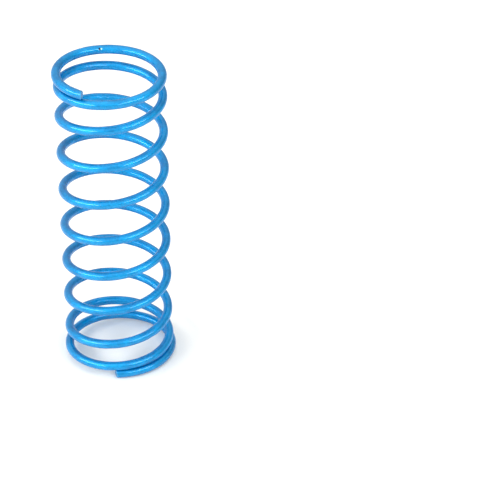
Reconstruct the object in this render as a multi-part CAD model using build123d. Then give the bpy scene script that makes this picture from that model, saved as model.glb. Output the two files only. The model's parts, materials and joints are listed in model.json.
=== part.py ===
"""Helical compression spring for the damper of a model car.

The spring is wound from one length of round wire, right-handed, with closed ends that are not ground.
It is divided at radial planes into coils, so that each coil can travel as the spring shortens.
Millimetres. +Z runs up the axis, the origin is on the axis at the level that the spring stands on,
and the lower end of the wire is at the front (-Y).
"""

from build123d import *
from math import atan2, cos, degrees, exp, pi, radians, sin, sqrt
import os

wire_d = 1.6            # coated wire diameter
coil_r = 9.0            # mean radius of the working coils: 19.6 outside, 16.4 inside
turns = 9.929           # from one cut end to the other
pitch = 7.35            # lead of the working coils, per turn
start_angle = -92.0     # where the lower cut end lies, seen from above
end_turns = 1.46        # part of the wire in the lower end coil; the upper one is what is left
working_coils = 7       # whole turns between the two end coils
slit = 0.02             # width of the radial cut between one coil and the next

# Each end is closed first, then opens evenly up to the full pitch.
# (lead at the cut end, turns before it opens, turns at which it is fully open)
lower_close = (0.6, 0.2, 2.3)
upper_close = (0.19, 0.1, 2.12)

# Each cut end lies over its neighbour. Behind it the wire springs out past the mean radius, and runs back.
# (how far out, how many turns from the cut end, spread in turns)
lower_flares = ((0.42, 0.30, 0.16), (0.17, 0.8, 0.8))
upper_flares = ((0.38, 0.28, 0.15),)

stations_per_turn = 8   # the centre line is two tangent arcs from each station to the next
overrun = 5 / 360       # a coil is swept this much too long, then cut back to its plane


def climb(t, close):
    """Height gained over t turns from a cut end."""
    first, opens, full = close
    if t <= opens:
        return first * t
    ramp = min(t, full) - opens
    gained = first * min(t, full) + (pitch - first) * ramp**2 / (2 * (full - opens))
    return gained + pitch * max(0, t - full)


centre_height = climb(turns / 2, lower_close) + climb(turns / 2, upper_close)


def height(u):
    """Height of the wire's centre, u turns from its lower end."""
    if u <= turns / 2:
        return wire_d / 2 + climb(u, lower_close)
    return wire_d / 2 + centre_height - climb(turns - u, upper_close)


def radius(u):
    """Distance of the wire's centre from the axis."""
    out = coil_r
    for t, flares in ((u, lower_flares), (turns - u, upper_flares)):
        out += sum(far * exp(-(((t - at) / spread) ** 2)) for far, at, spread in flares)
    return out


def angle(u):
    return start_angle + 360 * u


def centre(u):
    a = radians(angle(u))
    return Vector(radius(u) * cos(a), radius(u) * sin(a), height(u))


def along(u):
    """Direction of the wire, going up."""
    step = 0.0005
    return (centre(min(u + step, turns)) - centre(max(u - step, 0))).normalized()


def bend(start, way, end):
    """The wire along the one arc that leaves start in the direction way and passes through end."""
    chord = end - start
    across = way.cross(chord)
    arc_r = chord.length**2 / (2 * across.length)
    axis = across.normalized()
    hub = start + axis.cross(way) * arc_r
    turned = 2 * atan2(across.length, way.dot(chord))
    section = Plane(origin=start, z_dir=way) * Circle(wire_d / 2)
    return revolve(section, axis=Axis(hub, axis), revolution_arc=degrees(turned))


def span(first, last):
    """The wire between two stations: two arcs that meet in one tangent."""
    p = centre(first)
    q = centre(last)
    leaving = along(first)
    arriving = along(last)
    both = leaving + arriving
    k = 2 * (1 - leaving.dot(arriving))
    reach = (q - p).dot(both)
    arm = (sqrt(reach**2 + k * (q - p).length**2) - reach) / k
    before = p + leaving * arm
    after = q - arriving * arm
    middle = (before + after) / 2
    return [bend(p, leaving, middle), bend(middle, (after - before).normalized(), q)]


def cutter(u, side):
    """A block whose face is the radial plane at u; side +1 removes what lies beyond it, -1 what lies before."""
    block = Box(3 * wire_d, 3.0, 2.5 * wire_d)
    block = Pos(0, side * (1.5 - slit / 2), 0) * block
    return Pos(0, 0, height(u)) * Rot(0, 0, angle(u)) * Pos(radius(u), 0, 0) * block


def coil(first, last):
    """The wire from first to last, in turns from its lower end."""
    cut_first = first > 0
    cut_last = last < turns
    a = first - overrun if cut_first else first
    b = last + overrun if cut_last else last
    count = round((b - a) * stations_per_turn)
    stations = [a + (b - a) * i / count for i in range(count + 1)]
    bends = []
    for lower, upper in zip(stations, stations[1:]):
        bends += span(lower, upper)
    solid = bends[0].fuse(*bends[1:])
    if cut_first:
        solid -= cutter(first, -1)
    if cut_last:
        solid -= cutter(last, 1)
    return solid


os.makedirs("parts", exist_ok=True)
export_step(coil(0, end_turns), "parts/lower_end_coil.step")
for k in range(1, working_coils + 1):
    export_step(coil(end_turns + k - 1, end_turns + k), f"parts/coil_{k}.step")
export_step(coil(end_turns + working_coils, turns), "parts/upper_end_coil.step")

print(f"free length {centre_height + wire_d:.2f} mm, wire about {turns * 2 * pi * coil_r:.0f} mm")
for name, u in (("lower end", 0), ("upper end", turns - 1)):
    print(f"{name}: clearance to the next coil {height(u + 1) - height(u) - wire_d:.3f} mm")
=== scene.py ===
"""Looks of a damper spring: round wire, bright plated, under a clear blue coat."""

import json
import math

import bpy
import numpy as np
from mathutils import Euler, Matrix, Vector


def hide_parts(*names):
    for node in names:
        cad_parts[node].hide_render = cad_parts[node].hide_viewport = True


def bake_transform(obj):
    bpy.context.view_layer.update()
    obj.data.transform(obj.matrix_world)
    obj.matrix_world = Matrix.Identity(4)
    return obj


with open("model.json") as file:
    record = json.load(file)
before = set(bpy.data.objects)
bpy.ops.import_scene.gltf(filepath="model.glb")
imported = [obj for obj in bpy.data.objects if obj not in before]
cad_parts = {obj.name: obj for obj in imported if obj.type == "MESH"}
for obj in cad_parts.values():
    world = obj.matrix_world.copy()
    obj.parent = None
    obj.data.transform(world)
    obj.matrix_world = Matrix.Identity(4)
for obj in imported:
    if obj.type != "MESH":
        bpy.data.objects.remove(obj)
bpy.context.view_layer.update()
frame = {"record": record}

MM = 0.001
SLOT = "blue_coated_wire"

# The wire as wound, in millimetres, and in turns from its lower cut end, as the CAD has it.
# CLOSE: lead at the cut end, turns before it opens, turns at which it is fully open.
# FLARES: how far the wire springs out, turns from the cut end, spread in turns.
WIRE_R = 0.8
COIL_R = 9.0
TURNS = 9.929
PITCH = 7.35
START = math.radians(-92)
END_TURNS = 1.46
WORKING = 7
LOWER_CLOSE = (0.6, 0.2, 2.3)
UPPER_CLOSE = (0.19, 0.1, 2.12)
LOWER_FLARES = ((0.42, 0.30, 0.16), (0.17, 0.8, 0.8))
UPPER_FLARES = ((0.38, 0.28, 0.15),)

RINGS = 250  # in each turn
ROUND = 40  # round the wire

# Angles round the wire: 0 faces away from the spring's axis, a quarter turn on faces up.
OUT, UP, DOWN = 0.0, math.radians(90), math.radians(270)

# Pinholes in the coat: turns, angle round the wire, radius and depth in millimetres.
PINHOLES = [
    (9.546, math.radians(146), 0.23, 0.05),
    (0.55, math.radians(24), 0.13, 0.04),
    (4.62, math.radians(17), 0.14, 0.04),
    (7.18, math.radians(200), 0.11, 0.03),
]


# ---------------------------------------------------------------- the line the wire follows
def climb(t, close):
    """Height gained over t turns from a cut end."""
    first, opens, full = close
    ramp = np.clip(t, opens, full) - opens
    gained = first * np.minimum(t, full) + (PITCH - first) * ramp**2 / (2 * (full - opens))
    return gained + PITCH * np.maximum(0, t - full)


RISE = climb(TURNS / 2, LOWER_CLOSE) + climb(TURNS / 2, UPPER_CLOSE)


def height(u):
    from_below = climb(u, LOWER_CLOSE)
    from_above = RISE - climb(TURNS - u, UPPER_CLOSE)
    return WIRE_R + np.where(u <= TURNS / 2, from_below, from_above)


def radius(u):
    out = COIL_R
    for t, flares in ((u, LOWER_FLARES), (TURNS - u, UPPER_FLARES)):
        out = out + sum(far * np.exp(-(((t - at) / spread) ** 2)) for far, at, spread in flares)
    return out


def centre(u):
    a = START + 2 * np.pi * u
    return np.stack([radius(u) * np.cos(a), radius(u) * np.sin(a), height(u)], -1)


def unit(v):
    return v / np.linalg.norm(v, axis=-1, keepdims=True)


def ease(x, a, b):
    t = np.clip((x - a) / (b - a), 0, 1)
    return t * t * (3 - 2 * t)


def facing(a, at, wide):
    """1 at the angle `at` round the wire, falling away over `wide` degrees."""
    gap = np.abs((a - at + np.pi) % (2 * np.pi) - np.pi)
    return np.exp(-((gap / math.radians(wide)) ** 2))


# ---------------------------------------------------------------- how it shortens
def openness(u):
    """How far the wire at u comes down if every gap below it closes."""
    v = np.clip(u, 1, TURNS - 1)
    return height(v) - WIRE_R - 2 * WIRE_R * v


def share(u):
    """The part of the whole compression that reaches the wire at u, from 0 to 1."""
    low, high = openness(1.0), openness(TURNS - 1)
    return (openness(u) - low) / (high - low)


# ---------------------------------------------------------------- the wire's surface, as one grid
FILLET = 0.17  # the coat rounds the cut edges
SLANTS = (0.35, 0.30)  # how far each cut leans along the wire, per millimetre outward
LEAN_FADE = 0.7  # millimetres from a cut over which the lean dies away
WAVES, UNEVEN = 26, 0.0013  # the coat's uneven thickness: waves summed, and the height of each
NUDGE = 1e-4  # turns, to find a slope
turn_length = 2 * np.pi * COIL_R
# Rows lie close together round a cut's fillet, then open out to the regular spacing.
tip = np.concatenate([FILLET * (1 - np.cos(np.linspace(0, np.pi / 2, 7))), [0.29, 0.42, 0.55]]) / turn_length
regular = np.arange(3, round(TURNS * RINGS) - 2) / RINGS
stations = np.concatenate([tip, regular, TURNS - tip[::-1]])

line = centre(stations)
along = unit(centre(stations + NUDGE) - centre(stations - NUDGE))
bearing = START + 2 * np.pi * stations
outward = np.stack([np.cos(bearing), np.sin(bearing), 0 * bearing], -1)
outward = unit(outward - (outward * along).sum(-1, keepdims=True) * along)
upward = np.cross(outward, along)
run = np.concatenate([[0], np.cumsum(np.linalg.norm(np.diff(line, axis=0), axis=1))])

S, A = np.meshgrid(run, np.linspace(0, 2 * np.pi, ROUND, endpoint=False), indexing="ij")
U = np.repeat(stations[:, None], ROUND, 1)
low, high = S, run[-1] - S
end = np.minimum(low, high)


def straightened(u, a, r=WIRE_R):
    """Where a point of the wire would be if the wire were straight, in millimetres."""
    return np.stack([r * np.cos(a), r * np.sin(a), np.interp(u, stations, run) + 0 * a], -1)


rng = np.random.default_rng(7)
swell = sum(
    np.sin(rng.uniform(0.4, 2.4) * S + rng.uniform(0, 6.3))
    * np.cos(rng.integers(1, 5) * A + rng.uniform(0, 6.3))
    for _ in range(WAVES)
)
R = WIRE_R + UNEVEN * swell
R -= FILLET - np.sqrt(np.maximum(0, FILLET**2 - np.maximum(0, FILLET - end) ** 2))
# Each cut leaves a flat where the cutter pressed, and a lip opposite.
R -= 0.07 * (1 - ease(high, 0.3, 1.5)) * facing(A, UP + 0.3, 32)
R += 0.10 * np.exp(-high / 0.18) * facing(A, OUT + 0.8, 28)
R -= 0.05 * (1 - ease(low, 0.3, 1.2)) * facing(A, UP + 0.5, 36)
R += 0.05 * np.exp(-low / 0.18) * facing(A, DOWN + 0.6, 30)
for u, a, wide, deep in PINHOLES:
    away = np.linalg.norm(straightened(U, A) - straightened(u, a), axis=-1)
    R -= deep * np.exp(-((away / wide) ** 2))

lean = sum(slant * np.exp(-((far / LEAN_FADE) ** 2)) for slant, far in zip(SLANTS, (low, high)))
grid = line[:, None] + (lean * R * np.cos(A))[..., None] * along[:, None]
spoke = np.cos(A)[..., None] * outward[:, None] + np.sin(A)[..., None] * upward[:, None]
grid += R[..., None] * spoke
normals = unit(np.cross(np.roll(grid, -1, 1) - np.roll(grid, 1, 1), np.gradient(grid, axis=0)))

# Where a coil lies against the next, the coat is darkened: painted shade between the touching coils.
TOUCH_REACH = 0.16  # millimetres of gap over which the painted shade fades
APART = 9  # millimetres: no contact past the wire's ends
painted_contact_shade = 0 * S
for turn in (-1, 1):
    there = np.clip(stations + turn, 0, TURNS)
    reach = centre(there) - line
    gap = np.linalg.norm(reach, axis=1) - 2 * WIRE_R
    gap = np.where(np.abs(there - stations) < 1, APART, gap)
    toward = np.arctan2((reach * upward).sum(-1), (reach * outward).sum(-1))
    painted_contact_shade += np.exp(-np.maximum(gap, 0) / TOUCH_REACH)[:, None] * facing(A, toward[:, None], 24)


CUT_RINGS = (0.84, 0.62, 0.4, 0.2)  # rings on a cut face, as shares of the wire's radius
CUT_WEAR = 0.45  # how bare the plating is on a cut face


def wire_piece(name, first, last):
    """The wire between two stations as one closed mesh in metres, and each vertex's place in turns."""
    rows = slice(first, last + 1)
    points = [grid[rows].reshape(-1, 3)]
    flat = [straightened(U[rows], A[rows], R[rows]).reshape(-1, 3)]
    turns = [U[rows].ravel()]
    edge = [np.exp(-end[rows] / 0.10).ravel()]
    contact = [painted_contact_shade[rows].ravel()]
    count = last - first + 1
    i, j = np.meshgrid(np.arange(count - 1) * ROUND, np.arange(ROUND), indexing="ij")
    k = (j + 1) % ROUND
    walls = np.stack([i + j, i + k, i + ROUND + k, i + ROUND + j], -1).reshape(-1, 4)
    faces = walls.tolist()
    flat_faces = []
    for at, row, sign in ((first, 0, 1), (last, count - 1, -1)):
        rim = list(range(row * ROUND, (row + 1) * ROUND))
        cut = end[at, 0] == 0
        if not cut:
            flat_faces.append(len(faces))
            faces.append(rim[::-sign])
            continue
        a, made = A[0], sum(len(p) for p in points)
        loops = [rim]
        for n, f in enumerate(CUT_RINGS):
            x, y = f * R[at] * np.cos(a), f * R[at] * np.sin(a)
            torn = ease(x * 0.5 - y * sign, -0.1, 0.15)
            rough = np.sin(9 * x + 2) * np.cos(11 * y) * (0.4 + torn)
            back = 0.015 + 0.05 * torn + 0.012 * rough
            ahead = sign * back + lean[at] * x
            across = x[:, None] * outward[at] + y[:, None] * upward[at]
            points.append(line[at] + across + ahead[:, None] * along[at])
            flat.append(np.stack([x, y, S[at, 0] + sign * back], -1))
            turns.append(np.full(ROUND, stations[at]))
            edge.append(np.full(ROUND, CUT_WEAR))
            contact.append(np.zeros(ROUND))
            loops.append(list(range(made + n * ROUND, made + (n + 1) * ROUND)))
        points.append((line[at] + sign * 0.03 * along[at])[None])
        flat.append(np.array([[0, 0, S[at, 0] + sign * 0.03]]))
        turns.append(stations[at : at + 1])
        edge.append(np.array([CUT_WEAR]))
        contact.append(np.zeros(1))
        middle = made + len(CUT_RINGS) * ROUND
        for outer, inner in zip(loops, loops[1:]):
            for p in range(ROUND):
                q = (p + 1) % ROUND
                faces.append([outer[p], inner[p], inner[q], outer[q]][::sign])
        for p in range(ROUND):
            faces.append([loops[-1][p], middle, loops[-1][(p + 1) % ROUND]][::sign])
    points, flat, turns, edge, contact = map(np.concatenate, (points, flat, turns, edge, contact))
    mesh = bpy.data.meshes.new(name)
    mesh.from_pydata((points * MM).tolist(), [], faces)
    mesh.polygons.foreach_set("use_smooth", [n not in flat_faces for n in range(len(faces))])
    for attribute, kind, field, value in (
        ("wire_mm", "FLOAT_VECTOR", "vector", flat),
        ("edge", "FLOAT", "value", edge),
        ("painted_contact_shade", "FLOAT", "value", contact),
    ):
        data = mesh.attributes.new(attribute, kind, "POINT").data
        data.foreach_set(field, value.astype(np.float32).ravel())
    # Normals come from the whole wire, so that no line shows where two coils meet.
    away_from_cut = np.repeat(end[rows, 0] > 0.6, ROUND)
    own = np.where(away_from_cut[:, None], normals[rows].reshape(-1, 3), 0)
    corners = np.zeros((len(mesh.loops), 3))
    corners[: walls.size] = own[walls.ravel()]
    mesh.normals_split_custom_set(corners.tolist())
    piece = bpy.data.objects.new(name, mesh)
    bpy.context.scene.collection.objects.link(piece)
    return piece, turns


# ---------------------------------------------------------------- the coat
def coated_wire():
    material = bpy.data.materials.new(SLOT)
    material.use_nodes = True
    tree = material.node_tree
    tree.nodes.clear()

    def add(kind, inputs=None, **settings):
        node = tree.nodes.new("ShaderNode" + kind)
        for key, value in settings.items():
            setattr(node, key, value)
        for key, value in (inputs or {}).items():
            if isinstance(value, bpy.types.NodeSocket):
                tree.links.new(value, node.inputs[key])
            else:
                node.inputs[key].default_value = value
        return node

    def math_of(operation, a, b=0.0, clamp=False):
        return add("Math", {0: a, 1: b}, operation=operation, use_clamp=clamp).outputs[0]

    def spread(value, a, b, c=0.0, d=1.0):
        return add("MapRange", {0: value, 1: a, 2: b, 3: c, 4: d}).outputs[0]

    def mixed(share, a, b):
        node = add("Mix", data_type="RGBA")
        for index, value in ((0, share), (6, a), (7, b)):
            if isinstance(value, bpy.types.NodeSocket):
                tree.links.new(value, node.inputs[index])
            else:
                node.inputs[index].default_value = value
        return node.outputs[2]

    wire = add("Attribute", attribute_name="wire_mm").outputs["Vector"]
    edge = add("Attribute", attribute_name="edge").outputs["Fac"]
    near_contact_shade = add("Attribute", attribute_name="painted_contact_shade").outputs["Fac"]

    def noise(scale, detail=2.0, stretch=(1, 1, 1), rough=0.5):
        vector = add("VectorMath", {0: wire, 1: stretch}, operation="MULTIPLY").outputs[0]
        inputs = {"Vector": vector, "Scale": scale, "Detail": detail, "Roughness": rough}
        return add("TexNoise", inputs).outputs["Fac"]

    depth = noise(0.8, 3.0, (1, 1, 0.45))
    grain = noise(3.2, 3.0, rough=0.65)
    drawn = noise(5.0, 2.0, (1, 1, 0.045))
    peel = noise(1.5, 1.0)
    flake = add("TexVoronoi", {"Vector": wire, "Scale": 6.0}, feature="F1").outputs["Color"]
    flake_value = add("SeparateColor", {0: flake}).outputs[0]

    bright, deep = (0.003, 0.49, 0.92, 1), (0.001, 0.18, 0.42, 1)
    tone = math_of("ADD", spread(depth, 0.3, 0.7, 0.0, 0.45), spread(grain, 0.3, 0.7, 0.0, 0.35))
    tone = math_of("ADD", tone, spread(flake_value, 0, 1, 0, 0.2), clamp=True)
    colour = mixed(tone, deep, bright)

    # The plating shows where the coat is thin, on the cut edges.
    worn = math_of("MULTIPLY", edge, spread(noise(4.0, 3.0), 0.42, 0.62), clamp=True)
    colour = mixed(worn, colour, (0.42, 0.62, 0.78, 1))
    patchy = spread(noise(1.2, 3.0, (1, 1, 0.5)), 0.3, 0.6, 0.45, 1.0)
    # Painted shade: the colour darkens where the coils touch, patchy along the wire.
    painted_shade = math_of("MULTIPLY", near_contact_shade, patchy, clamp=True)
    colour = mixed(math_of("MULTIPLY", painted_shade, 0.15), colour, (0.004, 0.035, 0.10, 1))

    ragged = add("TexNoise", {"Vector": wire, "Scale": 6.0, "Detail": 2.0}).outputs["Color"]
    ragged = add("VectorMath", {0: ragged, 1: (0.5, 0.5, 0.5)}, operation="SUBTRACT").outputs[0]
    ragged = add("VectorMath", {0: ragged, "Scale": 0.16}, operation="SCALE").outputs[0]
    ragged = add("VectorMath", {0: wire, 1: ragged}, operation="ADD").outputs[0]

    def spots(shift, grow):
        """A ragged spot at each pinhole, shifted along the wire and grown, by shares of its width."""
        found = None
        for u, a, wide, _ in PINHOLES:
            at = straightened(u, a) + np.array([0, 0, shift * wide])
            place = tuple(float(x) for x in at)
            away = add("VectorMath", {0: ragged, 1: place}, operation="DISTANCE").outputs["Value"]
            spot = spread(away, wide * grow * 0.75, wide * grow, 1.0, 0.0)
            found = spot if found is None else math_of("MAXIMUM", found, spot)
        return found

    hole = spots(0, 1.0)
    chip = spots(-1.5, 0.85)  # bare plating beside the hole
    colour = mixed(chip, colour, (0.80, 0.88, 0.92, 1))
    colour = mixed(hole, colour, (0.006, 0.010, 0.018, 1))

    geometry = add("NewGeometry").outputs["Normal"]
    tilt = add("VectorMath", {0: flake, 1: (0.5, 0.5, 0.5)}, operation="SUBTRACT").outputs[0]
    tilt = add("VectorMath", {0: tilt, "Scale": 0.12}, operation="SCALE").outputs[0]
    tilt = add("VectorMath", {0: geometry, 1: tilt}, operation="ADD").outputs[0]
    tilt = add("VectorMath", {0: tilt}, operation="NORMALIZE").outputs[0]
    under = add("Bump", {"Strength": 1.0, "Distance": 0.004 * MM, "Height": drawn, "Normal": tilt}).outputs[0]
    over = add("Bump", {"Strength": 1.0, "Distance": 0.005 * MM, "Height": peel}).outputs[0]

    rough = math_of("ADD", spread(grain, 0.3, 0.7, 0.40, 0.54), math_of("MULTIPLY", painted_shade, 0.2))
    shader = add(
        "BsdfPrincipled",
        {
            "Base Color": colour,
            "Metallic": 0.72,
            "Roughness": rough,
            "Normal": under,
            "Specular Tint": (0.05, 0.45, 0.80, 1),
            "Coat Weight": 0.85,
            "Coat Roughness": 0.03,
            "Coat IOR": 1.42,
            "Coat Tint": (0.42, 0.80, 0.90, 1),
            "Coat Normal": over,
        },
    )
    output = add("OutputMaterial")
    tree.links.new(shader.outputs[0], output.inputs[0])
    return material


# ---------------------------------------------------------------- the nine pieces
behaviour = frame["record"]["behaviour"]
child = {joint["name"]: joint["child"] for joint in behaviour["joints"]}
reach = {child[c["joint"]]: c["ratio"] for c in behaviour["couplings"]}
coat = coated_wire()
seams = [0.0] + [END_TURNS + n for n in range(WORKING + 1)] + [TURNS]
names = ["lower_end_coil"] + [f"coil_{n}" for n in range(1, WORKING + 1)] + ["upper_end_coil"]
carriers = [f"turn_{n}" for n in range(1, WORKING + 1)] + ["upper_end", "upper_end"]
for n, (node, carrier) in enumerate(zip(names, carriers)):
    first, last = (int(np.argmin(np.abs(stations - seams[m]))) for m in (n, n + 1))
    piece, turns = wire_piece(f"{node}_wire", first, last)
    piece.data.materials.append(coat)
    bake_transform(piece)
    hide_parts(node)


# ---------------------------------------------------------------- floor, light and camera
MIDDLE = Vector((0, 0, 0.03))  # half way up the spring


def floor():
    material = bpy.data.materials.new("floor")
    material.use_nodes = True
    shader = material.node_tree.nodes["Principled BSDF"]
    shader.inputs["Base Color"].default_value = (0.90, 0.895, 0.86, 1)
    shader.inputs["Roughness"].default_value = 0.6
    bpy.ops.mesh.primitive_circle_add(vertices=96, radius=3.0, fill_type="NGON", location=(0, 0, 0))
    ground = bpy.context.object
    ground.name = "ground"
    ground.data.materials.append(material)


def softbox(name, azimuth, elevation, away, wide, tall, watts):
    """A lamp facing the spring, from a direction in degrees and at a distance in metres."""
    light = bpy.data.lights.new(name, "AREA")
    light.shape = "RECTANGLE"
    light.size, light.size_y = wide, tall
    light.energy = watts
    lamp = bpy.data.objects.new(name, light)
    bpy.context.scene.collection.objects.link(lamp)
    a, e = math.radians(azimuth), math.radians(elevation)
    back = Vector((math.cos(a) * math.cos(e), math.sin(a) * math.cos(e), math.sin(e)))
    lamp.location = MIDDLE + away * back
    lamp.rotation_euler = back.to_track_quat("Z", "Y").to_euler()


floor()
softbox("left strip", 208, 27, 0.5, 0.53, 0.10, 1.6)
softbox("right strip", 314, 32, 0.5, 0.44, 0.10, 1.2)

# The white studio: its level all round, and what each direction adds.
LEVEL, RIGHTWARD, BACKWARD, UPWARD = 0.56, -0.28, -0.02, 0.95


def studio():
    """White walls, brighter above and to the left, with plain white for what the camera sees."""
    world = bpy.data.worlds.new("studio")
    bpy.context.scene.world = world
    world.use_nodes = True
    tree = world.node_tree
    tree.nodes.clear()
    link = tree.links.new
    x, y, z = tree.nodes.new("ShaderNodeSeparateXYZ").outputs
    link(tree.nodes.new("ShaderNodeTexCoord").outputs["Generated"], x.node.inputs[0])

    def calc(operation, a, b):
        node = tree.nodes.new("ShaderNodeMath")
        node.operation = operation
        for socket, value in zip(node.inputs, (a, b)):
            if isinstance(value, bpy.types.NodeSocket):
                link(value, socket)
            else:
                socket.default_value = value
        return node.outputs[0]

    level = calc("ADD", calc("MULTIPLY", x, RIGHTWARD), calc("MULTIPLY", y, BACKWARD))
    high = calc("MAXIMUM", z, 0.0)
    level = calc("ADD", level, calc("MULTIPLY", calc("MULTIPLY", high, high), UPWARD))
    level = calc("ADD", level, LEVEL)
    walls, seen, mix = (
        tree.nodes.new("ShaderNode" + kind) for kind in ("Background", "Background", "MixShader")
    )
    link(level, walls.inputs["Strength"])
    walls.inputs["Color"].default_value = seen.inputs["Color"].default_value = (1, 1, 1, 1)
    link(tree.nodes.new("ShaderNodeLightPath").outputs["Is Camera Ray"], mix.inputs[0])
    link(walls.outputs[0], mix.inputs[1])
    link(seen.outputs[0], mix.inputs[2])
    link(mix.outputs[0], tree.nodes.new("ShaderNodeOutputWorld").inputs[0])


studio()

camera = bpy.data.objects.new("camera", bpy.data.cameras.new("camera"))
bpy.context.scene.collection.objects.link(camera)
camera.data.lens = 158.6
camera.data.sensor_width = 36.0
camera.location = (0.02397, -0.3325, 0.2350)
camera.rotation_euler = Euler((math.radians(90 - 32.71), 0, 0))
camera.data.clip_start, camera.data.clip_end = 0.01, 20
bpy.context.scene.camera = camera
bpy.context.scene.view_settings.view_transform = "Standard"
